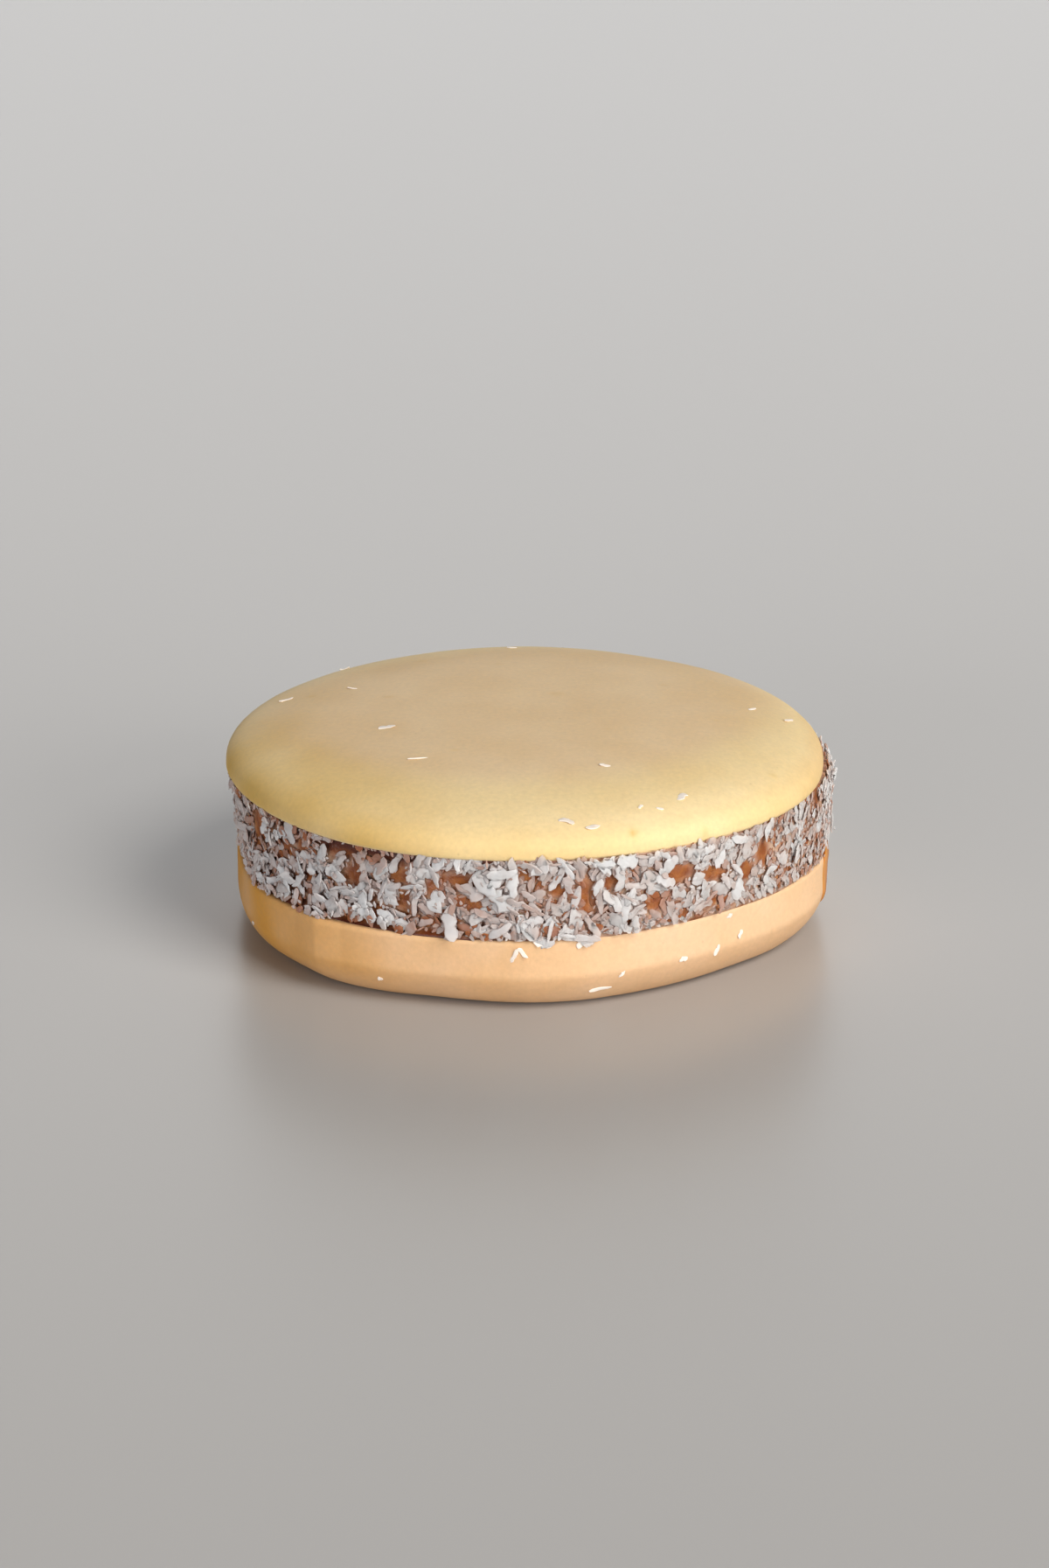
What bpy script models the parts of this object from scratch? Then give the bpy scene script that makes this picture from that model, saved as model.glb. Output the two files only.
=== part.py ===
"""Alfajor: two round cornflour biscuits with a thick layer of dulce de leche between them.

The stack lies flat on the ground, +Z up, with the middle of its footprint at the origin.
The lower biscuit is upside down: its flat baked base faces the filling, as the upper one's does.
Angles round the stack are in degrees, 0 at the front (-Y) and growing towards the right (+X).
"""

import math

import bmesh
import bpy

MM = 0.001

# Driving sizes
BISCUIT_RADIUS = 30.0 * MM
LOWER_THICKNESS = 7.3 * MM
UPPER_THICKNESS = 5.3 * MM
FILLING_THICKNESS = 8.0 * MM
FILLING_RADIUS = 28.6 * MM
LAYER_GAP = 0.3 * MM

# How the edges are shaped
UPPER_DOME_POWER = 2.7  # 2 is an ellipse, more is squarer
UPPER_RIM_ROUNDING = 0.36 * MM
LOWER_CURVE_POWER = 1.8
LOWER_CURVE_WIDTH = 3.0 * MM
LOWER_CURVE_HEIGHT = 3.6 * MM
LOWER_FLAT_RADIUS = 20.0 * MM
LOWER_FOOT_RISE = 0.1 * MM  # from the flat spot out to the foot of the curve
LOWER_RIM_ROUNDING = 0.5 * MM
FILLING_BULGE = 0.5 * MM

# How far each layer lies from the upper biscuit's axis
LOWER_SHIFT = (0.15 * MM, 0.0)
FILLING_SHIFT = (0.45 * MM, 0.0)

# Hand-cut outlines: (angle, half width in degrees, height in millimetres) of each bump or flat
LOWER_BUMPS = (
    (-83, 13, -0.80),
    (-60, 10, 0.25),
    (-38, 15, 1.00),
    (-15, 9, -0.30),
    (2, 12, 0.45),
    (30, 15, -0.55),
    (50, 11, -0.50),
    (68, 20, 0.75),
    (150, 30, 0.35),
    (-140, 28, -0.30),
)
UPPER_BUMPS = (
    (62, 14, 0.35),
    (-62, 14, -0.25),
    (-30, 12, 0.20),
    (170, 35, 0.20),
    (-150, 25, -0.20),
)
FILLING_BUMPS = (
    (-45, 16, -0.35),
    (20, 14, 0.25),
    (85, 18, 0.40),
    (-160, 30, 0.30),
)

TURN_STEPS = 80
DOME_STEPS = 13
CURVE_STEPS = 9
RIM_STEPS = 3
FILLING_STEPS = 6
MERGE = 0.001 * MM
SHARP_ANGLE = math.radians(40)  # faces that meet more sharply than this are drawn with an edge


def superellipse(power, steps):
    """Points (across, up) of a quarter superellipse, from its wide foot (1, 0) to its top (0, 1)."""
    points = []
    for step in range(steps + 1):
        turn = 0.5 * math.pi * step / steps
        across = max(math.cos(turn), 0.0) ** (2 / power)
        up = math.sin(turn) ** (2 / power)
        points.append((across, up))
    return points


def upper_profile():
    """The upper biscuit's half section, from the middle of its flat base, out and over its dome."""
    rim = UPPER_RIM_ROUNDING
    dome_height = UPPER_THICKNESS - rim
    points = [(0.0, 0.0), (0.5 * BISCUIT_RADIUS, 0.0)]
    for step in range(RIM_STEPS):
        turn = 0.5 * math.pi * step / RIM_STEPS
        points.append((BISCUIT_RADIUS - rim + rim * math.sin(turn), rim - rim * math.cos(turn)))
    for across, up in superellipse(UPPER_DOME_POWER, DOME_STEPS):
        points.append((BISCUIT_RADIUS * across, rim + dome_height * up))
    return points


def lower_profile():
    """The lower biscuit's half section, from the middle of its flat foot, out and over its edge."""
    rim = LOWER_RIM_ROUNDING
    foot_radius = BISCUIT_RADIUS - LOWER_CURVE_WIDTH
    curve_height = LOWER_CURVE_HEIGHT - LOWER_FOOT_RISE
    points = [(0.0, 0.0), (0.5 * LOWER_FLAT_RADIUS, 0.0), (LOWER_FLAT_RADIUS, 0.0)]
    for across, up in reversed(superellipse(LOWER_CURVE_POWER, CURVE_STEPS)):
        out = foot_radius + LOWER_CURVE_WIDTH * across
        points.append((out, LOWER_FOOT_RISE + curve_height * (1 - up)))
    for step in range(RIM_STEPS + 1):
        turn = 0.5 * math.pi * step / RIM_STEPS
        out = BISCUIT_RADIUS - rim + rim * math.cos(turn)
        points.append((out, LOWER_THICKNESS - rim + rim * math.sin(turn)))
    points += [(0.5 * BISCUIT_RADIUS, LOWER_THICKNESS), (0.0, LOWER_THICKNESS)]
    return points


def filling_profile():
    """The filling's half section: flat below and above, its side pressed out in a low arc."""
    height = FILLING_THICKNESS - 2 * LAYER_GAP
    points = [(0.0, 0.0), (0.5 * FILLING_RADIUS, 0.0)]
    for step in range(FILLING_STEPS + 1):
        share = step / FILLING_STEPS
        arc = 4 * share * (1 - share)
        points.append((FILLING_RADIUS + FILLING_BULGE * arc, height * share))
    points += [(0.5 * FILLING_RADIUS, height), (0.0, height)]
    return points


def outline_change(angle, bumps):
    """How far the outline stands out at an angle: the sum of its bell-shaped bumps, in metres."""
    total = 0.0
    for middle, half_width, height in bumps:
        away = (angle - middle + 180) % 360 - 180
        total += height * MM * math.exp(-0.5 * (away / half_width) ** 2)
    return total


def turned_mesh(name, profile, bumps):
    """Spins a half section round +Z, then moves its edge in and out by the bumps."""
    edge_radius = max(radius for radius, _ in profile)
    bm = bmesh.new()
    verts = [bm.verts.new((0.0, -radius, height)) for radius, height in profile]
    edges = [bm.edges.new(pair) for pair in zip(verts, verts[1:])]
    bmesh.ops.spin(
        bm,
        geom=verts + edges,
        cent=(0.0, 0.0, 0.0),
        axis=(0.0, 0.0, 1.0),
        angle=2 * math.pi,
        steps=TURN_STEPS,
        use_duplicate=False,
    )
    bmesh.ops.remove_doubles(bm, verts=bm.verts, dist=MERGE)
    for vert in bm.verts:
        angle = math.degrees(math.atan2(vert.co.x, -vert.co.y))
        grow = 1 + outline_change(angle, bumps) / edge_radius
        vert.co.x *= grow
        vert.co.y *= grow
    bmesh.ops.recalc_face_normals(bm, faces=bm.faces)
    mesh = bpy.data.meshes.new(name)
    bm.to_mesh(mesh)
    bm.free()
    mesh.shade_smooth()
    mesh.set_sharp_from_angle(angle=SHARP_ANGLE)
    return mesh


def food_material(name, color, roughness):
    material = bpy.data.materials.new(name)
    material.use_nodes = True
    shader = material.node_tree.nodes["Principled BSDF"]
    shader.inputs["Base Color"].default_value = (*color, 1.0)
    shader.inputs["Roughness"].default_value = roughness
    shader.inputs["Metallic"].default_value = 0.0
    return material


def layer(name, profile, bumps, shift, height, material, stack):
    """Adds one layer of the stack, resting at the given height."""
    obj = bpy.data.objects.new(name, turned_mesh(name, profile, bumps))
    obj.data.materials.append(material)
    obj.location = (shift[0], shift[1], height)
    obj.parent = stack
    bpy.context.collection.objects.link(obj)
    return obj


def centre_footprint(stack, layers):
    """Moves the stack so that the middle of the box round its layers stands over the origin."""
    for side in (0, 1):
        places = [vert.co[side] + obj.location[side] for obj in layers for vert in obj.data.vertices]
        stack.location[side] = -0.5 * (min(places) + max(places))


def build():
    for obj in list(bpy.data.objects):
        bpy.data.objects.remove(obj)
    stack = bpy.data.objects.new("alfajor", None)
    bpy.context.collection.objects.link(stack)
    lower_dough = food_material("baked cornflour dough, lower", (0.86, 0.60, 0.33), 0.75)
    upper_dough = food_material("baked cornflour dough, upper", (0.85, 0.65, 0.36), 0.72)
    caramel = food_material("dulce de leche", (0.30, 0.10, 0.03), 0.30)
    filling_height = LOWER_THICKNESS + LAYER_GAP
    upper_height = LOWER_THICKNESS + FILLING_THICKNESS
    layers = [
        layer("bottom_biscuit", lower_profile(), LOWER_BUMPS, LOWER_SHIFT, 0.0, lower_dough, stack),
        layer(
            "dulce_filling",
            filling_profile(),
            FILLING_BUMPS,
            FILLING_SHIFT,
            filling_height,
            caramel,
            stack,
        ),
        layer("top_biscuit", upper_profile(), UPPER_BUMPS, (0.0, 0.0), upper_height, upper_dough, stack),
    ]
    centre_footprint(stack, layers)


build()
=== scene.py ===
import math

import bpy
import numpy as np
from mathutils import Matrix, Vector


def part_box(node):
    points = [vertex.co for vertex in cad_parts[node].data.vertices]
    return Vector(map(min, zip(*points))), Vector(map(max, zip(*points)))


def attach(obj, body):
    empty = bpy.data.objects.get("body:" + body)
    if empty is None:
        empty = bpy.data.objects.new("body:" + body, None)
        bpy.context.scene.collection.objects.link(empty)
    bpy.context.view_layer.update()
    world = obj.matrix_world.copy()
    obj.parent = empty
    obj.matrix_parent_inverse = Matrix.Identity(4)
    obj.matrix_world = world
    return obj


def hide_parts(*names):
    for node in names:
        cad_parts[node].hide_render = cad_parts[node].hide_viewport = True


# An alfajor: two round cornflour biscuits, dulce de leche between them, the side rolled in coconut.
# Lengths are metres. Angles round the stack are degrees, 0 at the front (-Y), growing to the right (+X).

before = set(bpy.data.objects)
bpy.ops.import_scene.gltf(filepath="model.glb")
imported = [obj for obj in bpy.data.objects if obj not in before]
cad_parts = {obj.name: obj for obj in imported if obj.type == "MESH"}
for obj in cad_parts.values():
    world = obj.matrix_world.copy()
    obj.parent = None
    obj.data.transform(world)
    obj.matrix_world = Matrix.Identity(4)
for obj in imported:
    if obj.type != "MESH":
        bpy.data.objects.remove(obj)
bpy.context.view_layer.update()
mm = 0.001
print("frame:", *sorted(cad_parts))


# sRGB hex to linear light, by undoing the sRGB curve for red, green and blue
def linear(hexColour):
    code = np.array([int(hexColour[at:at + 2], 16) for at in (0, 2, 4)]) / 255
    light = np.where(code <= 0.04045, code / 12.92, ((code + 0.055) / 1.055) ** 2.4)
    return (*light.tolist(), 1.0)


# adds a node; an input is linked if it is given a socket, and set if it is given a value
def addNode(tree, kind, settings=None, inputs=None):
    node = tree.nodes.new(kind)
    for name, value in (settings or {}).items():
        setattr(node, name, value)
    for name, value in (inputs or {}).items():
        if isinstance(value, bpy.types.NodeSocket):
            tree.links.new(value, node.inputs[name])
        else:
            node.inputs[name].default_value = value
    return node


def newMaterial(name):
    material = bpy.data.materials.new(name)
    material.use_nodes = True
    material.node_tree.nodes.clear()
    return material, material.node_tree


# a value that the mesh carries on its points
def carried(tree, name):
    return addNode(tree, "ShaderNodeAttribute", {"attribute_name": name}).outputs["Fac"]


def addNoise(tree, place, size, detail, roughness):
    return addNode(tree, "ShaderNodeTexNoise", inputs={
        "Vector": place, "Scale": 1 / size, "Detail": detail, "Roughness": roughness}).outputs["Fac"]


# moves one range of values evenly onto another, and keeps to its ends
def addRange(tree, value, start, end, to=(0.0, 1.0)):
    return addNode(tree, "ShaderNodeMapRange", inputs={
        "Value": value, "From Min": start, "From Max": end, "To Min": to[0], "To Max": to[1],
    }).outputs["Result"]


# the first colour where the share is 0, the second where it is 1; each is a hex code or a socket
def mixColours(tree, share, first, second, blend="MIX"):
    first, second = (linear(colour) if isinstance(colour, str) else colour for colour in (first, second))
    return addNode(tree, "ShaderNodeMix", {"data_type": "RGBA", "blend_type": blend}, {
        0: share, 6: first, 7: second}).outputs[2]


def mixNumbers(tree, share, first, second):
    return addNode(tree, "ShaderNodeMix", {"data_type": "FLOAT"}, {
        0: share, 2: first, 3: second}).outputs[0]


# small bumps as high as the height's share of the depth
def addBump(tree, height, depth):
    return addNode(tree, "ShaderNodeBump", inputs={
        "Height": height, "Strength": 1.0, "Distance": depth}).outputs["Normal"]


# the shader and the output; glow is how much light spreads under the face, how far, and by colour
def addSurface(tree, colour, roughness, ior, glow=None, normal=None):
    inputs = {"Base Color": colour, "Roughness": roughness, "IOR": ior}
    if glow:
        inputs.update(zip(("Subsurface Weight", "Subsurface Scale", "Subsurface Radius"), glow))
    if normal:
        inputs["Normal"] = normal
    body = addNode(tree, "ShaderNodeBsdfPrincipled", inputs=inputs)
    addNode(tree, "ShaderNodeOutputMaterial", inputs={"Surface": body.outputs["BSDF"]})


# axis + radius x (sine, minus cosine) of the angle, at a height
def polar(axis, degrees, radius, height):
    angle = np.radians(degrees)
    x = axis[0] + radius * np.sin(angle)
    y = axis[1] - radius * np.cos(angle)
    return np.stack(np.broadcast_arrays(x, y, height), axis=-1)


# 0 at the start, 1 at the end, straight between them and flat beyond
def ramp(value, start, end):
    return ((value - start) / (end - start)).clip(0, 1)


# 3t^2 - 2t^3, which leaves 0 and reaches 1 gently
def ease(share):
    return share * share * (3 - 2 * share)


# one number from -1 to 1 for each lattice corner, by multiplying and shifting its whole-number place
def latticeValue(corner, seed):
    mixed = corner[..., 0] * 374761393 + corner[..., 1] * 668265263 + corner[..., 2] * 1442695041
    mixed = (mixed + seed * 1274126177) & 0xFFFFFFFF
    mixed = ((mixed ^ (mixed >> 13)) * 1103515245) & 0xFFFFFFFF
    mixed = mixed ^ (mixed >> 16)
    return mixed / 0x7FFFFFFF - 1


# the eight corner values round a point, weighted by its eased place along each axis of its cell
def smoothNoise(points, cell, seed):
    place = points / cell
    corner = np.floor(place).astype(np.int64)
    share = ease(place - corner)
    total = np.zeros(points.shape[:-1])
    for step in np.ndindex(2, 2, 2):
        weight = np.where(np.array(step) == 1, share, 1 - share).prod(axis=-1)
        total += weight * latticeValue(corner + step, seed)
    return total


# sum of noises, each (height, cell size, seed)
def relief(points, terms):
    return sum(height * smoothNoise(points, cell, seed) for height, cell, seed in terms)


# e^(-d^2 / 2), with d the distance from a middle in half widths, the angle taken the short way round
def bell(degrees, middle, halfWidth):
    away = (degrees - middle + 180) % 360 - 180
    return np.exp(-0.5 * (away / halfWidth) ** 2)


# the sum of bells, each (middle angle, half width, height)
def bells(degrees, *each):
    return sum(height * bell(degrees, middle, halfWidth) for middle, halfWidth, height in each)


# the middle of a CAD node, and the radius of its widest ring all round, kept to slow waves
def outlineOf(node, waves=14, samples=1440):
    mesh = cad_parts[node].data
    points = np.empty(3 * len(mesh.vertices), np.float32)
    mesh.vertices.foreach_get("co", points)
    points = points.reshape(-1, 3).astype(float)
    axis = np.mean(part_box(node), axis=0)[:2]
    x, y = (points[:, :2] - axis).T
    away = np.hypot(x, y)
    onRing = np.abs(points[:, 2] - points[away.argmax(), 2]) < 0.01 * mm
    degrees, first = np.unique(np.degrees(np.arctan2(x, -y))[onRing] % 360, return_index=True)
    ring = np.interp(np.arange(samples) * 360 / samples, degrees, away[onRing][first], period=360)
    spectrum = np.fft.rfft(ring)
    spectrum[waves + 1:] = 0
    return axis, np.fft.irfft(spectrum, samples)


def radiusAt(outline, degrees):
    return np.interp(degrees, np.arange(len(outline)) * 360 / len(outline), outline, period=360)


# quarter of a superellipse: across = cos^(2/power), up = sin^(2/power), from (1, 0) to (0, 1)
def quarter(power, steps=400):
    angle = np.linspace(0, math.pi / 2, steps)
    return np.cos(angle).clip(0) ** (2 / power), np.sin(angle) ** (2 / power)


# count points spaced evenly along a line of (radius, height), its first point left out
def evenly(radius, height, count):
    along = np.concatenate([[0], np.cumsum(np.hypot(np.diff(radius), np.diff(height)))])
    wanted = np.linspace(0, along[-1], count + 1)[1:]
    return np.stack([np.interp(wanted, along, radius), np.interp(wanted, along, height)], axis=-1)


# cross product of the two grid directions, for a grid that closes round its columns
def gridNormals(points):
    sideways = np.roll(points, -1, axis=1) - np.roll(points, 1, axis=1)
    normals = np.cross(sideways, np.gradient(points, axis=0))
    return normals / np.linalg.norm(normals, axis=-1, keepdims=True)


# whole arrays into a mesh; sizes are the faces' corner counts, and values are one for each point
def newMesh(name, points, corners, sizes, cornerMap, values):
    mesh = bpy.data.meshes.new(name)
    mesh.vertices.add(len(points))
    mesh.vertices.foreach_set("co", points.astype(np.float32).ravel())
    mesh.loops.add(len(corners))
    mesh.loops.foreach_set("vertex_index", corners.astype(np.int32))
    mesh.polygons.add(len(sizes))
    mesh.polygons.foreach_set("loop_start", (np.cumsum(sizes) - sizes).astype(np.int32))
    mesh.update(calc_edges=True)
    mesh.uv_layers.new(name="OFBake").uv.foreach_set("vector", cornerMap.astype(np.float32).ravel())
    for key, value in values.items():
        layer = mesh.attributes.new(key, "FLOAT", "POINT")
        layer.data.foreach_set("value", value.astype(np.float32).ravel())
    mesh.validate()
    mesh.shade_smooth()
    return mesh


# a grid (rows, columns, 3) closed round its columns, each end row drawn into its middle point; the map
# is the share of the turn and the share of the rows
def closedGrid(name, points, values):
    rows, columns = points.shape[:2]
    index = np.arange(rows * columns).reshape(rows, columns)
    after = np.roll(index, -1, axis=1)
    quads = np.stack([index[:-1], after[:-1], after[1:], index[1:]], axis=-1).reshape(-1, 4)
    lowEnd = np.full(columns, rows * columns)
    lowFan = np.stack([lowEnd, after[0], index[0]], axis=-1)
    highFan = np.stack([index[-1], after[-1], lowEnd + 1], axis=-1)
    wide, tall = 1 / columns, 1 / (rows + 1)
    step = np.array([[0, 0], [wide, 0], [wide, tall], [0, tall]])
    half = np.array([wide / 2, -tall])
    place = np.stack(np.meshgrid(np.arange(columns) * wide, np.arange(1, rows + 1) * tall), axis=-1)
    quadMap = (place[:-1, :, None, :] + step).reshape(-1, 2)
    lowMap = (place[0][:, None, :] + np.stack([half, step[1], step[0]])).reshape(-1, 2)
    highMap = (place[-1][:, None, :] + np.stack([step[0], step[1], half * (1, -1)])).reshape(-1, 2)
    allPoints = np.concatenate([points.reshape(-1, 3), [points[0].mean(axis=0), points[-1].mean(axis=0)]])
    corners = np.concatenate([quads.ravel(), lowFan.ravel(), highFan.ravel()])
    sizes = np.concatenate([np.full(len(quads), 4), np.full(2 * columns, 3)])
    cornerMap = np.concatenate([quadMap, lowMap, highMap])
    values = {key: np.append(value, (value[0].mean(), value[-1].mean())) for key, value in values.items()}
    return newMesh(name, allPoints, corners, sizes, cornerMap, values)


# a section of (radius, height) turned round an axis and scaled to an outline, with its angles
def turnedSection(section, axis, outline, foot, columns):
    degrees = np.arange(columns) * 360 / columns
    radius = section[:, :1] / outline.mean() * radiusAt(outline, degrees)
    return degrees, polar(axis, degrees, radius, foot + section[:, 1:])


def lifted(points, lift):
    return points + gridNormals(points) * lift[..., None]


def addObject(name, data):
    added = bpy.data.objects.new(name, data)
    bpy.context.collection.objects.link(added)
    return added


# makes the mesh an object at the origin that rides on the stack's one body
def addPiece(name, mesh, material, replaced=None):
    piece = addObject(name, mesh)
    mesh.materials.append(material)
    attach(piece, "root")
    if replaced:
        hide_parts(replaced)
    triangles = sum(len(face.vertices) - 2 for face in mesh.polygons)
    print(f"{name}: {triangles} triangles")


# Cornflour dough, baked pale: a smooth matt face, a faint grain, and a little brown at the edges; painted
# shade darkens faces turned from the light and deepens the brown on the side away from them
doughLook = {
    "patches": (9 * mm, 3.0, 0.5),  # size, detail and roughness of the noise
    "grain": (0.5 * mm, 2.0, 0.6),
    "grainShade": (0.94, 1.05),
    "grainDepth": 0.018 * mm,
    "poreSpacing": 2.6 * mm,
    "poreSize": 0.11 * mm,
    "poreShade": 0.1,
    "roughness": (0.62, 0.78),
    "ior": 1.45,
    "glow": (0.08, 1.2 * mm, (1.0, 0.6, 0.3)),
}


def doughMaterial(name, colours):
    look = doughLook
    material, tree = newMaterial(name)
    place = addNode(tree, "ShaderNodeTexCoord").outputs["Object"]
    patches = addNoise(tree, place, *look["patches"])
    grain = addNoise(tree, place, *look["grain"])
    pores = addNode(tree, "ShaderNodeTexVoronoi", inputs={
        "Vector": place, "Scale": 1 / look["poreSpacing"], "Randomness": 1.0})
    poreShare = look["poreSize"] / look["poreSpacing"]
    pore = addRange(tree, pores.outputs["Distance"], 0.5 * poreShare, 1.5 * poreShare, (1.0, 0.0))
    colour = mixColours(tree, addRange(tree, patches, 0.35, 0.65), colours["pale"], colours["deep"])
    # painted shade: a darker, greyer colour multiplied in where the mesh says a face is turned from the
    # light
    colour = mixColours(tree, carried(tree, "paintedShade"), colour, colours["paintedShade"], "MULTIPLY")
    # browning, deepened on the side away from the lights partly as painted shade
    colour = mixColours(tree, carried(tree, "toastAndShade"), colour, colours["brownedAndShaded"])
    shade = addNode(tree, "ShaderNodeMath", {"operation": "MULTIPLY_ADD"}, {
        0: pore, 1: -look["poreShade"], 2: addRange(tree, grain, 0.25, 0.75, look["grainShade"])})
    shaded = addNode(tree, "ShaderNodeVectorMath", {"operation": "SCALE"}, {
        0: colour, "Scale": shade.outputs[0]})
    height = addNode(tree, "ShaderNodeMath", {"operation": "SUBTRACT"}, {0: grain, 1: pore})
    addSurface(tree, shaded.outputs[0], addRange(tree, grain, 0.3, 0.7, look["roughness"]), look["ior"],
               look["glow"], addBump(tree, height.outputs[0], look["grainDepth"]))
    return material


# The upper biscuit, its domed side up, its rim hardly rounded where the flat base begins
topBiscuit = {
    "columns": 600,
    "rows": {"base": 20, "dome": 126},
    "rimRounding": 0.36 * mm,
    "domePower": 2.7,  # 2 is an ellipse, more is squarer
    "relief": ((0.1 * mm, 14 * mm, 11), (0.03 * mm, 4 * mm, 12), (0.006 * mm, 0.8 * mm, 13)),
    "rimBrown": (0.93, 0.18),  # share of the radius where it begins, strength at the rim
    "shoulderBrown": (0.77, 0.08, 0.12),  # share of the radius, half width, strength
    "sideBrownAndShade": ((-56, 28, 0.6), (76, 22, 0.14)),  # middle angle, half width, strength at the rim; the deep golden brown on the left, away from the lights, is partly real browning and partly painted shade
    "sideBrownFrom": 0.64,  # share of the radius
    "mottle": (0.35, 5 * mm, 14),  # how unevenly it browns: strength, cell size, seed
    "freckleMottle": (0.35, 0.5 * mm, 15),
    # freckles: x, y, half width in millimetres, strength
    "freckles": (
        (10, -27.3, 0.34, 0.5), (17, -24.5, 0.3, 0.3), (-14, 5, 0.6, 0.2),
        (-22, 7.5, 0.5, 0.2), (3, 5, 0.8, 0.18), (24, -14, 0.4, 0.22),
        (-7, -12, 0.4, 0.16), (-3, 16, 0.5, 0.14), (14, 9, 0.4, 0.16),
        (19, -2, 0.3, 0.15), (-11, 19, 0.5, 0.18), (8, -6, 0.3, 0.12),
    ),
    "paintedShadeFrom": (0.79, 0.54),  # shares of the radius between which the dome's top turns to painted shade
    "paintedShadeReach": ((135, 38, 0.3), (-100, 35, 0.25)),  # middle angle, half width, how much further out
    "crownRim": (84, 16, 0.8),  # where the rim takes the same darker, greyer colour: middle angle, half width, strength
    "crownRimFrom": (0.93, 0.99),
    # the greyish colour is painted shade, multiplied in on the dome's top; the golden one is browning,
    # partly painted shade on the left side
    "colours": {"pale": "f4dcab", "deep": "efd4a0", "paintedShade": "f0e8ec", "brownedAndShaded": "cfa138"},
}


# a flat base, a rounded rim and a superellipse dome, turned, then lifted along its normals by the relief
def buildTopBiscuit():
    spec = topBiscuit
    low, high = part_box("top_biscuit")
    radius = topOutline.mean()
    rim = spec["rimRounding"]
    thickness = high[2] - low[2]
    across, up = quarter(2)
    domeAcross, domeUp = quarter(spec["domePower"])
    edgeRadius = np.concatenate([radius - rim + rim * up, radius * domeAcross])
    edgeHeight = np.concatenate([rim - rim * across, rim + (thickness - rim) * domeUp])
    section = np.concatenate([
        evenly([0, radius - rim], [0, 0], spec["rows"]["base"]),
        evenly(edgeRadius, edgeHeight, spec["rows"]["dome"]),
    ])[:-1]
    share = section[:, :1] / radius
    degrees, points = turnedSection(section, topAxis, topOutline, low[2], spec["columns"])
    offBase = ramp(section[:, 1:], 0, rim)
    points = lifted(points, relief(points, spec["relief"]) * offBase)
    brownFrom, strength = spec["rimBrown"]
    toastAndShade = strength * ramp(share, brownFrom, 1)
    # the deep golden brown on the left side, away from the lights, is partly real browning and partly
    # painted shade
    toastAndShade = toastAndShade + bells(degrees, *spec["sideBrownAndShade"]) * ramp(share, spec["sideBrownFrom"], 1)
    middle, halfWidth, strength = spec["shoulderBrown"]
    toastAndShade += strength * np.exp(-0.5 * ((share - middle) / halfWidth) ** 2)
    toastAndShade *= 1 + relief(points, [spec["mottle"]])
    freckleShape = 1 + relief(points, [spec["freckleMottle"]])
    for x, y, size, strength in spec["freckles"]:
        off = np.hypot(points[..., 0] - x * mm, points[..., 1] - y * mm) / (size * mm)
        toastAndShade += strength * np.exp(-(off * freckleShape) ** 2)
    toastAndShade = (toastAndShade * offBase).clip(0, 1)
    # painted shade: darker, greyer colour on the dome's top, which the low lights reach at a slant, and on
    # the rim round 84 degrees
    paintedShade = ease(ramp(share - bells(degrees, *spec["paintedShadeReach"]), *spec["paintedShadeFrom"]))
    paintedShade = np.maximum(paintedShade, ramp(share, *spec["crownRimFrom"]) * bells(degrees, spec["crownRim"]))
    mesh = closedGrid("topBiscuit", points, {"toastAndShade": toastAndShade, "paintedShade": paintedShade})
    dough = doughMaterial("baked cornflour dough, upper", spec["colours"])
    addPiece("topBiscuit", mesh, dough, "top_biscuit")
    return points


# The lower biscuit, its domed side down: a cut wall above, a curve under it, and a flat foot
bottomBiscuit = {
    "columns": 720,
    "rows": {"foot": 14, "rise": 10, "wall": 62, "ledge": 12, "top": 10},
    "flatRadius": 20 * mm,
    "footRise": 0.1 * mm,
    "curvePower": 1.65,
    "curveWidth": 3.0 * mm,
    "curveHeight": 3.6 * mm,
    "rimRounding": 0.5 * mm,
    "ledgeWidth": 2.6 * mm,
    "relief": ((0.1 * mm, 9 * mm, 21), (0.035 * mm, 3 * mm, 22), (0.007 * mm, 0.8 * mm, 23)),
    "reliefFrom": 4 * mm,  # the relief grows to its full height over this much past the flat foot
    "cutMarks": (0.02 * mm, 1.6 * mm, 24),  # height, spacing and seed of the cutter's upright marks
    "cutStretch": 0.12,  # 1 would be round marks, less is longer ones
    "corner": (-41, 5.5, 0.38 * mm),  # angle, half width and height of the pinched corner
    "taller": (32, 38, 0.35 * mm),  # where its wall is taller: middle angle, half width, how much
    "tallerPower": 6,  # how closely that keeps to the wall
    "footBrown": (1.1 * mm, 0.12),  # how high it reaches, strength
    # the deep golden brown on the left wall, away from the lights, is partly real browning and partly
    # painted shade
    "leftBrownAndShade": (-72, 36, 0.95),
    "mottle": (0.4, 4 * mm, 25),
    "paintedShadeFrom": (3.9 * mm, 3.2 * mm),  # heights between which the wall turns to painted shade on the curve under it, which faces down
    # the pale grey colour is painted shade, multiplied in on the curve under the wall; the golden one is
    # browning, partly painted shade on the left wall
    "colours": {"pale": "e9c49f", "deep": "e4bc92", "paintedShade": "ebe7e3", "brownedAndShaded": "d79735"},
}


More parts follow.
